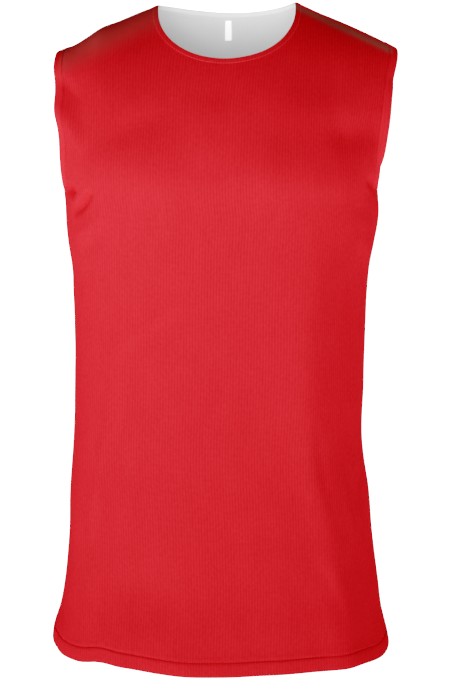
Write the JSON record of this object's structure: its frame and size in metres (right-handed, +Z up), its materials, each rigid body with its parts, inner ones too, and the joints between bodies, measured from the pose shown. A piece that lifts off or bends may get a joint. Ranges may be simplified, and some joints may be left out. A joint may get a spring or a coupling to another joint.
{
  "type": "basketball jersey",
  "caption": "Sleeveless reversible basketball jersey, filled out as worn, red outside and white inside, with open neck, armholes and hem.",
  "frame": {"origin": "midway between the middles of the two shoulder seams, where a wearer's shoulders carry the jersey", "axes": "+Z up towards the neck, -Y the way the front faces, +X towards the wearer's left"},
  "size_m": [0.4052, 0.2489, 0.7649],
  "materials": {
    "outer_knit": "fine red polyester knit, soft satin sheen",
    "lining_knit": "fine white polyester knit, matte",
    "label_tape": "blank white woven satin tape"
  },
  "bodies": {
    "root": {"front_outer": "outer_knit", "back_outer": "outer_knit", "front_lining": "lining_knit", "back_lining": "lining_knit", "label": "label_tape"}
  },
  "joints": []
}
